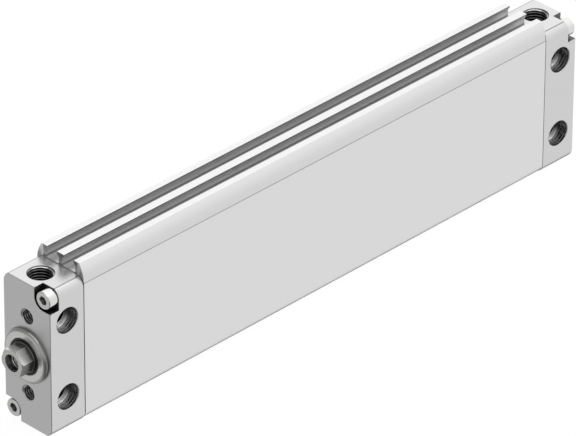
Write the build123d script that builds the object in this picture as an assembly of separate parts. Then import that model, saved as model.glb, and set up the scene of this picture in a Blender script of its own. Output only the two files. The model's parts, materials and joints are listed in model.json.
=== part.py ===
from build123d import *
import math
import os

# Flat pneumatic cylinder with an oval piston, drawn retracted.
# Frame: X runs along the rod and points out of the front, Z is up,
# the origin is where the rod axis meets the mounting face of the front cap.
# All sizes are millimetres.

# How far a cutter runs past the face it opens
CUT_PAST = 1.0

# Overall body
STROKE = 200.0
BODY_HEIGHT = 60.0
BARREL_WIDTH = 24.0
CAP_WIDTH = 23.7
CAP_LENGTH = 16.5

# Barrel extrusion: walls about the bore, outer corners and side panels
SIDE_WALL = 2.7
END_WALL = 6.4
BARREL_FOOT_RADIUS = 4.2
PANEL_DROP = 2.3
PANEL_STEP = 0.15
PANEL_STEP_SLOPE = 0.1

# Sensor rail on top of the barrel: two undercut slots and a centre rib
SLOT_FLOOR_RISE = 0.5
SLOT_STRAIGHT = 2.5
SLOT_UNDERCUT = 1.5
SLOT_LIP = 0.6
SLOT_OPENING = 4.9
SLOT_WIDTH = 6.8
CENTRE_RIB_WIDTH = 1.6
CENTRE_RIB_HEAD = 3.6
RAIL_OUTER_RADIUS = 11.5
RAIL_CAP_WIDTH = 2.7
RAIL_EDGE_ROUND = 0.3

# Caps
CAP_CORNER_Y = 2.3
CAP_CORNER_Z = 4.0
CAP_EDGE_BREAK = 0.2
SPIGOT_LENGTH = 4.5
SPIGOT_CLEARANCE = 0.1
SPIGOT_CHAMFER = 0.4
SEAL_GROOVE_DEPTH = 1.5
SEAL_GROOVE_WIDTH = 2.2
SEAL_GROOVE_SETBACK = 1.0
SEAL_AXIAL_CLEARANCE = 0.1
SEAL_ROUND = 0.5

# Mounting holes through the caps, threads in their end faces, air ports
MOUNT_PITCH = 32.0
CROSS_HOLE_SETBACK = 8.3
CROSS_HOLE_RADIUS = 3.3
CROSS_SINK_RADIUS = 5.15
CROSS_SINK_DEPTH = 5.3
FACE_THREAD_RADIUS = 3.0
FACE_THREAD_DEPTH = 8.3
HOLE_BREAK = 0.2
PORT_RADIUS = 4.864
PORT_BREAK = 0.28
PORT_SETBACK = 8.2
PORT_Y = -1.3
PORT_FLOOR_WALL = 0.45
PORT_PILOT_RADIUS = 2.8
PORT_PILOT_WALL = 0.6
AIR_WAY_RADIUS = 1.4
AIR_WAY_WALL = 0.9

# Cap screws, one near the upper edge of one side and one near the lower
# edge of the other side
SCREW_INSET_Y = 3.75
SCREW_INSET_Z = 3.9
SCREW_HEAD_RADIUS = 3.5
SCREW_HEAD_HEIGHT = 4.0
SCREW_HEAD_BREAK = 0.25
SCREW_SOCKET = 3.0
SCREW_SOCKET_DEPTH = 2.0
SCREW_RADIUS = 2.0
SCREW_LENGTH = 25.0
SCREW_TIP = 0.4
SCREW_POCKET_RADIUS = 4.15
SCREW_POCKET_DEPTH = 4.2
SCREW_HOLE_RADIUS = 2.25
SCREW_THREAD_FIT = 0.03
BARREL_THREAD_DEPTH = 16.0

# Rod
ROD_RADIUS = 6.0
ROD_OUT = 2.3
ROD_SHOULDER_BREAK = 0.15
HEX_OUT = 7.7
HEX_FLATS = 10.0
HEX_TURN = 12.0
HEX_BREAK = 0.5
ROD_MOUTH_RADIUS = 3.4
ROD_MOUTH_DEPTH = 2.5
ROD_THREAD_RADIUS = 3.0
ROD_THREAD_DEPTH = 16.0
DRILL_TIP = 1.6
ROD_SPIGOT_RADIUS = 4.5
ROD_SPIGOT_LENGTH = 15.6
ROD_TAPPED_DEPTH = 14.0
ROD_CHAMFER = 0.5

# Rod guide and seals in the front cap
COLLAR_RADIUS = 10.8
COLLAR_OUT = 1.8
COLLAR_ROUND = 1.3
COLLAR_BODY_RADIUS = 9.0
COLLAR_SEAT_FIT = 0.02
WIPER_SEAT_RADIUS = 7.15
WIPER_SEAT_DEPTH = 3.2
WIPER_RECESS = 0.35
WIPER_LIP_BEVEL = 0.3
WIPER_LIP_LAND = 0.3
WIPER_LIP_BACK = 0.7
WIPER_RELIEF = 0.35
BUSH_AXIAL_GAP = 0.05
BUSH_RADIUS = 7.0
BUSH_CHAMFER = 0.3
ROD_SEAL_LENGTH = 4.2
ROD_SEAL_LIP = 2.2
GLAND_END_WALL = 0.2
ROD_SEAL_AXIAL_GAP = 0.1
BUSH_CLEARANCE = 0.03
LIP_CLEARANCE = 0.02
ROD_PASSAGE_CLEARANCE = 0.35

# Bumpers
BUMPER_SIDE_GAP = 1.0
BUMPER_AIR_GAP = 0.9
BUMPER_THICKNESS = 2.4
BUMPER_ROUND = 0.5
BUMPER_HOLE_CLEARANCE = 0.6

# Piston
PISTON_FRONT_LENGTH = 6.0
PISTON_GUIDE_LENGTH = 8.0
PISTON_REAR_LENGTH = 9.0
END_GAP = 0.6
PLATE_CLEARANCE = 0.4
GUIDE_CLEARANCE = 0.05
PISTON_CHAMFER = 0.6
LIP_GROOVE_WIDTH = 3.0
LIP_GROOVE_DEPTH = 2.6
LIP_GROOVE_OFFSET = 1.4
LIP_WALL = 0.8
LIP_CUT = 1.3
LIP_AXIAL_CLEARANCE = 0.1
LIP_BORE_CLEARANCE = 0.03
SPIGOT_FIT = 0.02
MAGNET_WIDTH = 6.0
MAGNET_LENGTH = 5.0
MAGNET_HEIGHT = 3.0
MAGNET_COVER = 2.1
MAGNET_CLEARANCE = 0.1
O_RING_SECTION = 1.2
O_RING_GROOVE_DEPTH = 1.0
O_RING_GROOVE_WIDTH = 1.6
O_RING_SETBACK = 2.4
PISTON_SCREW_RADIUS = 3.0
PISTON_SCREW_HEAD_RADIUS = 5.0
PISTON_SCREW_HEAD = 5.0
PISTON_SCREW_LENGTH = 14.0
PISTON_SCREW_SOCKET = 5.0
PISTON_SCREW_SOCKET_DEPTH = 2.6
PISTON_SCREW_SINK_RADIUS = 5.4
PISTON_SCREW_SINK_DEPTH = 5.4
PISTON_SCREW_HOLE = 3.3
REAR_SEAT_DEPTH = 1.8

# Lengths and positions along the rod that follow from the sizes above
PISTON_LENGTH = PISTON_FRONT_LENGTH + PISTON_GUIDE_LENGTH + PISTON_REAR_LENGTH
END_FITTINGS = SPIGOT_LENGTH + BUMPER_THICKNESS
BARREL_LENGTH = STROKE + PISTON_LENGTH + 2 * (END_GAP + END_FITTINGS)
TOTAL_LENGTH = BARREL_LENGTH + 2 * CAP_LENGTH
BARREL_FRONT = -CAP_LENGTH
MID_LENGTH = -TOTAL_LENGTH / 2
REAR_BUMPER_FACE = END_FITTINGS + CAP_LENGTH - TOTAL_LENGTH
PISTON_FRONT = REAR_BUMPER_FACE + END_GAP + PISTON_LENGTH
GLAND_DEPTH = CAP_LENGTH - GLAND_END_WALL
COLLAR_DEPTH = GLAND_DEPTH - ROD_SEAL_LENGTH - ROD_SEAL_AXIAL_GAP
BUSH_LENGTH = COLLAR_DEPTH - WIPER_SEAT_DEPTH - 2 * BUSH_AXIAL_GAP

# Heights and widths that follow from the sizes above
BODY_TOP = BODY_HEIGHT / 2
BORE_WIDTH = BARREL_WIDTH - 2 * SIDE_WALL
BORE_HEIGHT = BODY_HEIGHT - 2 * END_WALL
SCREW_Y = CAP_WIDTH / 2 - SCREW_INSET_Y
SCREW_Z = BODY_TOP - SCREW_INSET_Z
AIR_WAY_Z = BORE_HEIGHT / 2 - AIR_WAY_WALL - AIR_WAY_RADIUS
BUMPER_WIDTH = BORE_WIDTH - 2 * BUMPER_SIDE_GAP
BUMPER_HEIGHT = 2 * (AIR_WAY_Z - AIR_WAY_RADIUS - BUMPER_AIR_GAP)
MAGNET_TOP = BORE_HEIGHT / 2 - MAGNET_COVER
CROSS_SINK_TOP = MOUNT_PITCH / 2 + CROSS_SINK_RADIUS
CROSS_HOLE_TOP = MOUNT_PITCH / 2 + CROSS_HOLE_RADIUS
PORT_DEPTH = BODY_TOP - CROSS_SINK_TOP - PORT_FLOOR_WALL
PORT_PILOT_DEPTH = BODY_TOP - CROSS_HOLE_TOP - PORT_PILOT_WALL


def pull(sketch, start, length):
    """Pull a section drawn in Y and Z from start towards the rear."""
    return extrude(Plane.YZ.offset(start) * sketch, amount=-length)


def turned(points):
    """Turn a closed outline of (x, radius) points about the rod axis."""
    outline = make_face(Polyline(*points, close=True))
    return revolve(outline, axis=Axis.X)


def rod_axis_drill(radius, start, length, y=0, z=0):
    """A round cutter along X, starting at start and running to the rear."""
    return pull(Pos(y, z) * Circle(radius), start, length)


def flat_oval(width, height):
    """Upright oval with straight sides and round ends."""
    return SlotOverall(height, width, rotation=90)


def oval_inset(inset):
    """The bore oval made smaller by inset all round."""
    return flat_oval(BORE_WIDTH - 2 * inset, BORE_HEIGHT - 2 * inset)


def mirrored_to_rear(solid):
    """The same piece at the rear end, facing the other way."""
    return mirror(solid, about=Plane.YZ.offset(MID_LENGTH))


def barrel_section():
    """Barrel outline: plain sides, round feet and the two-slot sensor rail."""
    half = BARREL_WIDTH / 2
    foot = BODY_TOP
    side = half - PANEL_STEP
    panel = BODY_TOP - PANEL_DROP
    rib = CENTRE_RIB_WIDTH / 2
    head = CENTRE_RIB_HEAD / 2
    wall = rib + SLOT_WIDTH
    lip = head + SLOT_OPENING
    floor = BODY_TOP + SLOT_FLOOR_RISE
    shoulder = floor + SLOT_STRAIGHT
    under_lip = shoulder + SLOT_UNDERCUT
    top = under_lip + SLOT_LIP
    outer = lip + RAIL_CAP_WIDTH
    with BuildSketch() as section:
        with BuildLine():
            Line((0, -foot), (half - BARREL_FOOT_RADIUS, -foot))
            RadiusArc(
                (half - BARREL_FOOT_RADIUS, -foot),
                (half, BARREL_FOOT_RADIUS - foot),
                -BARREL_FOOT_RADIUS,
            )
            Polyline(
                (half, BARREL_FOOT_RADIUS - foot),
                (half, panel - PANEL_STEP_SLOPE),
                (side, panel + PANEL_STEP_SLOPE),
            )
            RadiusArc(
                (side, panel + PANEL_STEP_SLOPE),
                (outer, top),
                -RAIL_OUTER_RADIUS,
            )
            Polyline(
                (outer, top),
                (lip, top),
                (lip, under_lip),
                (wall, shoulder),
                (wall, floor),
                (rib, floor),
                (rib, shoulder),
                (head, under_lip),
                (head, top),
                (0, top),
            )
            mirror(about=Plane.YZ)
        make_face()
        rail_edges = section.vertices().group_by(Axis.Y)[-1]
        fillet([v for v in rail_edges if abs(v.X) > rib], RAIL_EDGE_ROUND)
    return section.sketch


def barrel_profile():
    """Extruded barrel with its oval bore and tapped corners at both ends."""
    body = pull(barrel_section(), BARREL_FRONT, BARREL_LENGTH)
    body -= pull(flat_oval(BORE_WIDTH, BORE_HEIGHT), BARREL_FRONT, BARREL_LENGTH)
    for sign in (1, -1):
        drill = rod_axis_drill(
            SCREW_RADIUS, BARREL_FRONT, BARREL_THREAD_DEPTH,
            sign * SCREW_Y, sign * SCREW_Z,
        )
        body -= drill
        body -= mirrored_to_rear(drill)
    return body


def cap_section():
    """Cap outline: flat faces with a creased arc along each long corner."""
    half = CAP_WIDTH / 2
    top = BODY_TOP
    corner_radius = (CAP_CORNER_Y**2 + CAP_CORNER_Z**2) / (2 * CAP_CORNER_Y)
    with BuildSketch() as section:
        with BuildLine():
            Line((0, top), (half - CAP_CORNER_Y, top))
            RadiusArc(
                (half - CAP_CORNER_Y, top),
                (half, top - CAP_CORNER_Z),
                corner_radius,
            )
            Line((half, top - CAP_CORNER_Z), (half, 0))
            mirror(about=Plane.XZ)
            mirror(about=Plane.YZ)
        make_face()
    return section.sketch


def screw_pocket():
    """Open pocket for one cap screw head, running out at top and side."""
    corner = Pos(
        SCREW_Y - SCREW_POCKET_RADIUS + BODY_TOP,
        SCREW_Z - SCREW_POCKET_RADIUS + BODY_TOP,
    ) * Rectangle(BODY_HEIGHT, BODY_HEIGHT)
    inner = corner.vertices().sort_by(lambda v: v.X + v.Y)[0]
    return pull(fillet(inner, SCREW_POCKET_RADIUS), 0, SCREW_POCKET_DEPTH)


def cross_hole(z):
    """Through hole along Y with a sink for a screw head on both sides."""
    half = CAP_WIDTH / 2
    sink = half - CROSS_SINK_DEPTH
    outline = make_face(Polyline(
        (0, 0),
        (CROSS_HOLE_RADIUS, 0),
        (CROSS_HOLE_RADIUS, sink),
        (CROSS_SINK_RADIUS, sink),
        (CROSS_SINK_RADIUS, half - HOLE_BREAK),
        (CROSS_SINK_RADIUS + HOLE_BREAK, half),
        (CROSS_SINK_RADIUS + HOLE_BREAK, half + CUT_PAST),
        (0, half + CUT_PAST),
        close=True,
    ))
    one_side = revolve(outline, axis=Axis.Y)
    both = one_side + mirror(one_side, about=Plane.XZ)
    return Pos(-CROSS_HOLE_SETBACK, 0, z) * both


def face_thread(z):
    """Hole for a tapped thread in the end face, with its lead-in."""
    cutter = turned([
        (CUT_PAST, 0),
        (CUT_PAST, FACE_THREAD_RADIUS + HOLE_BREAK),
        (0, FACE_THREAD_RADIUS + HOLE_BREAK),
        (-HOLE_BREAK, FACE_THREAD_RADIUS),
        (-FACE_THREAD_DEPTH, FACE_THREAD_RADIUS),
        (-FACE_THREAD_DEPTH, 0),
    ])
    return Pos(0, 0, z) * cutter


def air_port():
    """Port from the top face, its pilot, and the air way into the bore."""
    top = BODY_TOP
    outline = make_face(Polyline(
        (0, top + CUT_PAST),
        (PORT_RADIUS + PORT_BREAK, top + CUT_PAST),
        (PORT_RADIUS + PORT_BREAK, top),
        (PORT_RADIUS, top - PORT_BREAK),
        (PORT_RADIUS, top - PORT_DEPTH),
        (PORT_PILOT_RADIUS, top - PORT_DEPTH),
        (PORT_PILOT_RADIUS, top - PORT_PILOT_DEPTH),
        (0, top - PORT_PILOT_DEPTH),
        close=True,
    ))
    well = Pos(-PORT_SETBACK, PORT_Y, 0) * revolve(Plane.XZ * outline, axis=Axis.Z)
    reach = CAP_LENGTH + SPIGOT_LENGTH + CUT_PAST - PORT_SETBACK
    way = rod_axis_drill(AIR_WAY_RADIUS, -PORT_SETBACK, reach, PORT_Y, AIR_WAY_Z)
    return well + way


def cap_blank():
    """What both caps share: block, spigot, holes, port and screw pockets."""
    block = pull(cap_section(), 0, CAP_LENGTH)
    rims = block.edges().group_by(Axis.X)
    block = chamfer(rims[0] + rims[-1], CAP_EDGE_BREAK)
    spigot = pull(oval_inset(SPIGOT_CLEARANCE), -CAP_LENGTH, SPIGOT_LENGTH)
    tip = spigot.edges().group_by(Axis.X)[0]
    block += chamfer(tip, SPIGOT_CHAMFER)
    groove_start = -CAP_LENGTH - SEAL_GROOVE_SETBACK
    groove = pull(oval_inset(0), groove_start, SEAL_GROOVE_WIDTH)
    groove -= pull(
        oval_inset(SPIGOT_CLEARANCE + SEAL_GROOVE_DEPTH),
        groove_start, SEAL_GROOVE_WIDTH,
    )
    block -= groove
    block -= air_port()
    for sign in (1, -1):
        block -= cross_hole(sign * MOUNT_PITCH / 2)
        block -= face_thread(sign * MOUNT_PITCH / 2)
        block -= rod_axis_drill(
            SCREW_HOLE_RADIUS, 0, CAP_LENGTH, sign * SCREW_Y, sign * SCREW_Z,
        )
    block -= screw_pocket()
    block -= Rot(180, 0, 0) * screw_pocket()
    return block


def front_cap():
    """Bearing cap: the shared cap with the stepped gland for the rod."""
    seat = COLLAR_BODY_RADIUS + COLLAR_SEAT_FIT
    passage = ROD_RADIUS + ROD_PASSAGE_CLEARANCE
    inner_end = -CAP_LENGTH - SPIGOT_LENGTH - CUT_PAST
    gland = turned([
        (CUT_PAST, 0),
        (CUT_PAST, seat),
        (-GLAND_DEPTH, seat),
        (-GLAND_DEPTH, passage),
        (inner_end, passage),
        (inner_end, 0),
    ])
    return cap_blank() - gland


def rear_cap():
    """End cap: the shared cap turned to face the rear."""
    return mirrored_to_rear(cap_blank())


def cap_seal():
    """Oval sealing ring in the spigot groove of the front cap."""
    start = -CAP_LENGTH - SEAL_GROOVE_SETBACK - SEAL_AXIAL_CLEARANCE
    length = SEAL_GROOVE_WIDTH - 2 * SEAL_AXIAL_CLEARANCE
    outer = pull(oval_inset(0), start, length)
    outer = fillet(
        outer.edges().group_by(Axis.X)[0] + outer.edges().group_by(Axis.X)[-1],
        SEAL_ROUND,
    )
    inner = oval_inset(SPIGOT_CLEARANCE + SEAL_GROOVE_DEPTH)
    return outer - pull(inner, start, length)


def bearing_collar():
    """Pressed-in collar: round-edged boss, wiper seat and bush seat."""
    flange = COLLAR_RADIUS - COLLAR_ROUND
    with BuildSketch() as half:
        with BuildLine():
            Polyline(
                (-COLLAR_DEPTH, BUSH_RADIUS),
                (-COLLAR_DEPTH, COLLAR_BODY_RADIUS - BUSH_CHAMFER),
                (-COLLAR_DEPTH + BUSH_CHAMFER, COLLAR_BODY_RADIUS),
                (0, COLLAR_BODY_RADIUS),
                (0, COLLAR_RADIUS),
                (COLLAR_OUT - COLLAR_ROUND, COLLAR_RADIUS),
            )
            RadiusArc(
                (COLLAR_OUT - COLLAR_ROUND, COLLAR_RADIUS),
                (COLLAR_OUT, flange),
                COLLAR_ROUND,
            )
            Polyline(
                (COLLAR_OUT, flange),
                (COLLAR_OUT, WIPER_SEAT_RADIUS + HOLE_BREAK),
                (COLLAR_OUT - HOLE_BREAK, WIPER_SEAT_RADIUS),
                (-WIPER_SEAT_DEPTH, WIPER_SEAT_RADIUS),
                (-WIPER_SEAT_DEPTH, BUSH_RADIUS),
                (-COLLAR_DEPTH, BUSH_RADIUS),
            )
        make_face()
    return revolve(half.sketch, axis=Axis.X)


def rod_bush():
    """Plain bearing bush for the rod, chamfered at both mouths."""
    front = -WIPER_SEAT_DEPTH - BUSH_AXIAL_GAP
    rear = front - BUSH_LENGTH
    bore = ROD_RADIUS + BUSH_CLEARANCE
    return turned([
        (front, bore + BUSH_CHAMFER),
        (front, BUSH_RADIUS - BUSH_CHAMFER),
        (front - BUSH_CHAMFER, BUSH_RADIUS),
        (rear, BUSH_RADIUS),
        (rear, bore + BUSH_CHAMFER),
        (rear + BUSH_CHAMFER, bore),
        (front - BUSH_CHAMFER, bore),
    ])


def rod_wiper():
    """Scraper ring at the rod mouth with one outward lip."""
    face = COLLAR_OUT - WIPER_RECESS
    back = -WIPER_SEAT_DEPTH
    lip = ROD_RADIUS + LIP_CLEARANCE
    root = lip + WIPER_RELIEF
    land = face - WIPER_LIP_BEVEL
    return turned([
        (back, root),
        (back, WIPER_SEAT_RADIUS),
        (face, WIPER_SEAT_RADIUS),
        (face, lip + WIPER_LIP_BEVEL),
        (land, lip),
        (land - WIPER_LIP_LAND, lip),
        (land - WIPER_LIP_LAND - WIPER_LIP_BACK, root),
    ])


def rod_seal():
    """Rod lip seal behind the collar, cup side facing the pressure."""
    back = -GLAND_DEPTH
    front = back + ROD_SEAL_LENGTH
    lip = ROD_RADIUS + LIP_CLEARANCE
    middle = (lip + COLLAR_BODY_RADIUS) / 2
    return turned([
        (front, lip + BUSH_CHAMFER),
        (front, COLLAR_BODY_RADIUS),
        (back, COLLAR_BODY_RADIUS),
        (back, COLLAR_BODY_RADIUS - BUSH_CHAMFER),
        (back + ROD_SEAL_LIP, middle),
        (back, lip + BUSH_CHAMFER),
        (back + BUSH_CHAMFER, lip),
        (back + ROD_SEAL_LIP, lip),
    ])


def bumper():
    """Oval elastic pad on the inner end of a cap."""
    start = -CAP_LENGTH - SPIGOT_LENGTH
    pad = pull(flat_oval(BUMPER_WIDTH, BUMPER_HEIGHT), start, BUMPER_THICKNESS)
    return fillet(pad.edges().group_by(Axis.X)[0], BUMPER_ROUND)


def front_bumper():
    """Front pad with the passage for the rod."""
    start = -CAP_LENGTH - SPIGOT_LENGTH
    radius = ROD_RADIUS + BUMPER_HOLE_CLEARANCE
    return bumper() - rod_axis_drill(radius, start, BUMPER_THICKNESS)


def cap_screw(sign):
    """Socket head screw of the front cap, its head down in the pocket."""
    seat = -SCREW_POCKET_DEPTH
    face = seat + SCREW_HEAD_HEIGHT
    shank = SCREW_RADIUS - SCREW_THREAD_FIT
    body = turned([
        (face, 0),
        (face, SCREW_HEAD_RADIUS - SCREW_HEAD_BREAK),
        (face - SCREW_HEAD_BREAK, SCREW_HEAD_RADIUS),
        (seat, SCREW_HEAD_RADIUS),
        (seat, shank),
        (seat - SCREW_LENGTH + SCREW_TIP, shank),
        (seat - SCREW_LENGTH, shank - SCREW_TIP),
        (seat - SCREW_LENGTH, 0),
    ])
    socket = RegularPolygon(SCREW_SOCKET / 2, 6, major_radius=False)
    body -= pull(socket, face, SCREW_SOCKET_DEPTH)
    return Pos(0, sign * SCREW_Y, sign * SCREW_Z) * body


def rod_hex():
    """Spanner hexagon on the rod nose, corners turned off at its end."""
    hexagon = Rot(0, 0, HEX_TURN) * RegularPolygon(
        HEX_FLATS / 2, 6, major_radius=False
    )
    bar = pull(hexagon, HEX_OUT, HEX_OUT - ROD_OUT)
    corner = HEX_FLATS / 2 / math.cos(math.pi / 6)
    cone = turned([
        (HEX_OUT, 0),
        (HEX_OUT, corner - HEX_BREAK),
        (HEX_OUT - HEX_BREAK, corner),
        (ROD_OUT, corner),
        (ROD_OUT, 0),
    ])
    return bar & cone


def piston_rod():
    """Rod with hexagon nose, tapped ends, piston spigot and ring groove."""
    end = PISTON_FRONT - ROD_SPIGOT_LENGTH
    ring = PISTON_FRONT - O_RING_SETBACK
    groove = ROD_SPIGOT_RADIUS - O_RING_GROOVE_DEPTH
    body = turned([
        (ROD_OUT, 0),
        (ROD_OUT, ROD_RADIUS - ROD_SHOULDER_BREAK),
        (ROD_OUT - ROD_SHOULDER_BREAK, ROD_RADIUS),
        (PISTON_FRONT, ROD_RADIUS),
        (PISTON_FRONT, ROD_SPIGOT_RADIUS),
        (ring, ROD_SPIGOT_RADIUS),
        (ring, groove),
        (ring - O_RING_GROOVE_WIDTH, groove),
        (ring - O_RING_GROOVE_WIDTH, ROD_SPIGOT_RADIUS),
        (end + ROD_CHAMFER, ROD_SPIGOT_RADIUS),
        (end, ROD_SPIGOT_RADIUS - ROD_CHAMFER),
        (end, 0),
    ])
    body += rod_hex()
    body -= turned([
        (HEX_OUT, 0),
        (HEX_OUT, ROD_MOUTH_RADIUS),
        (HEX_OUT - ROD_MOUTH_DEPTH, ROD_MOUTH_RADIUS),
        (HEX_OUT - ROD_MOUTH_DEPTH, ROD_THREAD_RADIUS),
        (HEX_OUT - ROD_THREAD_DEPTH, ROD_THREAD_RADIUS),
        (HEX_OUT - ROD_THREAD_DEPTH - DRILL_TIP, 0),
    ])
    body -= turned([
        (end, 0),
        (end, PISTON_SCREW_RADIUS),
        (end + ROD_TAPPED_DEPTH, PISTON_SCREW_RADIUS),
        (end + ROD_TAPPED_DEPTH + DRILL_TIP, 0),
    ])
    return body


def piston_block(start, length, clearance):
    """Plain oval block of the piston with its hole for the rod spigot."""
    block = pull(oval_inset(clearance), start, length)
    hole = ROD_SPIGOT_RADIUS + SPIGOT_FIT
    return block - rod_axis_drill(hole, start, length)


def lip_ring(start, width, root):
    """Oval ring between the groove root and the bore."""
    ring = pull(oval_inset(LIP_BORE_CLEARANCE), start, width)
    return ring - pull(oval_inset(root), start, width)


def piston_front_plate():
    """Front piston plate with the groove of the front lip seal."""
    plate = piston_block(PISTON_FRONT, PISTON_FRONT_LENGTH, PLATE_CLEARANCE)
    rim = plate.edges().group_by(Axis.X)[-1].sort_by(SortBy.LENGTH)[-2:]
    plate = chamfer(rim, PISTON_CHAMFER)
    start = PISTON_FRONT - LIP_GROOVE_OFFSET
    return plate - lip_ring(start, LIP_GROOVE_WIDTH, LIP_GROOVE_DEPTH)


def piston_guide():
    """Plastic middle piece that slides on the bore and holds the magnet."""
    start = PISTON_FRONT - PISTON_FRONT_LENGTH
    guide = piston_block(start, PISTON_GUIDE_LENGTH, GUIDE_CLEARANCE)
    width = MAGNET_WIDTH + 2 * MAGNET_CLEARANCE
    height = MAGNET_HEIGHT + 2 * MAGNET_CLEARANCE
    seat = Pos(0, MAGNET_TOP - MAGNET_HEIGHT / 2) * Rectangle(width, height)
    return guide - pull(seat, start, MAGNET_LENGTH + MAGNET_CLEARANCE)


def piston_rear_plate():
    """Rear piston plate with its lip groove and the sunk screw seat."""
    start = PISTON_FRONT - PISTON_FRONT_LENGTH - PISTON_GUIDE_LENGTH
    end = start - PISTON_REAR_LENGTH
    plate = pull(oval_inset(PLATE_CLEARANCE), start, PISTON_REAR_LENGTH)
    plate = chamfer(plate.edges().group_by(Axis.X)[0], PISTON_CHAMFER)
    hole = ROD_SPIGOT_RADIUS + SPIGOT_FIT
    plate -= rod_axis_drill(hole, start, REAR_SEAT_DEPTH)
    plate -= rod_axis_drill(PISTON_SCREW_HOLE, start, PISTON_REAR_LENGTH)
    sink = end + PISTON_SCREW_SINK_DEPTH
    plate -= rod_axis_drill(
        PISTON_SCREW_SINK_RADIUS, sink, PISTON_SCREW_SINK_DEPTH
    )
    groove = end + LIP_GROOVE_OFFSET + LIP_GROOVE_WIDTH
    return plate - lip_ring(groove, LIP_GROOVE_WIDTH, LIP_GROOVE_DEPTH)


def piston_lip_seal(groove_start, towards_front):
    """Oval lip seal: a ring with a channel that lets its lips spread."""
    start = groove_start - LIP_AXIAL_CLEARANCE
    width = LIP_GROOVE_WIDTH - 2 * LIP_AXIAL_CLEARANCE
    ring = lip_ring(start, width, LIP_GROOVE_DEPTH)
    channel_start = start if towards_front else start - width + LIP_CUT
    channel = pull(oval_inset(LIP_WALL), channel_start, LIP_CUT)
    channel -= pull(
        oval_inset(LIP_GROOVE_DEPTH - LIP_WALL), channel_start, LIP_CUT
    )
    return ring - channel


def piston_seal_front():
    """Lip seal of the front plate, open towards the front chamber."""
    return piston_lip_seal(PISTON_FRONT - LIP_GROOVE_OFFSET, True)


def piston_seal_rear():
    """Lip seal of the rear plate, open towards the rear chamber."""
    end = PISTON_FRONT - PISTON_LENGTH
    return piston_lip_seal(end + LIP_GROOVE_OFFSET + LIP_GROOVE_WIDTH, False)


def piston_magnet():
    """Bar magnet under the sensor rail, in the top of the guide."""
    start = PISTON_FRONT - PISTON_FRONT_LENGTH - MAGNET_CLEARANCE
    section = Pos(0, MAGNET_TOP - MAGNET_HEIGHT / 2) * Rectangle(
        MAGNET_WIDTH, MAGNET_HEIGHT
    )
    return pull(section, start, MAGNET_LENGTH)


def rod_o_ring():
    """Round ring that seals the piston on the rod spigot."""
    centre = PISTON_FRONT - O_RING_SETBACK - O_RING_GROOVE_WIDTH / 2
    radius = O_RING_SECTION / 2
    middle = ROD_SPIGOT_RADIUS + SPIGOT_FIT - radius
    squeeze = Pos(centre, middle) * Circle(radius)
    floor = ROD_SPIGOT_RADIUS - O_RING_GROOVE_DEPTH
    gap = Pos(centre, floor + radius) * Rectangle(O_RING_SECTION, O_RING_SECTION)
    return revolve(squeeze & gap, axis=Axis.X)


def piston_screw():
    """Socket screw that clamps the piston stack on the rod."""
    end = PISTON_FRONT - PISTON_LENGTH
    seat = end + PISTON_SCREW_SINK_DEPTH
    face = seat - PISTON_SCREW_HEAD
    shank = PISTON_SCREW_RADIUS - SCREW_THREAD_FIT
    tip = seat + PISTON_SCREW_LENGTH
    body = turned([
        (face, 0),
        (face, PISTON_SCREW_HEAD_RADIUS - SCREW_HEAD_BREAK),
        (face + SCREW_HEAD_BREAK, PISTON_SCREW_HEAD_RADIUS),
        (seat, PISTON_SCREW_HEAD_RADIUS),
        (seat, shank),
        (tip - SCREW_TIP, shank),
        (tip, shank - SCREW_TIP),
        (tip, 0),
    ])
    socket = RegularPolygon(PISTON_SCREW_SOCKET / 2, 6, major_radius=False)
    depth = PISTON_SCREW_SOCKET_DEPTH
    return body - pull(socket, face + depth, depth)


def write(node, solid):
    """Write one named node as a STEP file."""
    export_step(solid, os.path.join("parts", node + ".step"))


os.makedirs("parts", exist_ok=True)
write("barrel_profile", barrel_profile())
write("front_cap", front_cap())
write("rear_cap", rear_cap())
write("front_cap_seal", cap_seal())
write("rear_cap_seal", mirrored_to_rear(cap_seal()))
write("bearing_collar", bearing_collar())
write("rod_bush", rod_bush())
write("rod_wiper", rod_wiper())
write("rod_seal", rod_seal())
write("front_bumper", front_bumper())
write("rear_bumper", mirrored_to_rear(bumper()))
write("front_cap_screw_upper", cap_screw(1))
write("front_cap_screw_lower", cap_screw(-1))
write("rear_cap_screw_upper", mirrored_to_rear(cap_screw(1)))
write("rear_cap_screw_lower", mirrored_to_rear(cap_screw(-1)))
write("piston_rod", piston_rod())
write("piston_front_plate", piston_front_plate())
write("piston_guide", piston_guide())
write("piston_rear_plate", piston_rear_plate())
write("piston_seal_front", piston_seal_front())
write("piston_seal_rear", piston_seal_rear())
write("piston_magnet", piston_magnet())
write("rod_o_ring", rod_o_ring())
write("piston_screw", piston_screw())
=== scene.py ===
# %% [markdown]
# # A flat pneumatic cylinder, dressed for its picture
# The construction is already finished: every piece of the cylinder arrives as
# a CAD node at its true size. This lesson gives those nodes their metal and
# rubber, and adds what a construction leaves out: cut threads, and cap screws
# with rounded heads and rolled threads. All lengths are metres, X runs out of
# the front along the rod, Y points to the near side and Z is up.

# %% Load the frame
import json
import bmesh
import bpy
import numpy as np
from mathutils import Matrix, Vector


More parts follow.
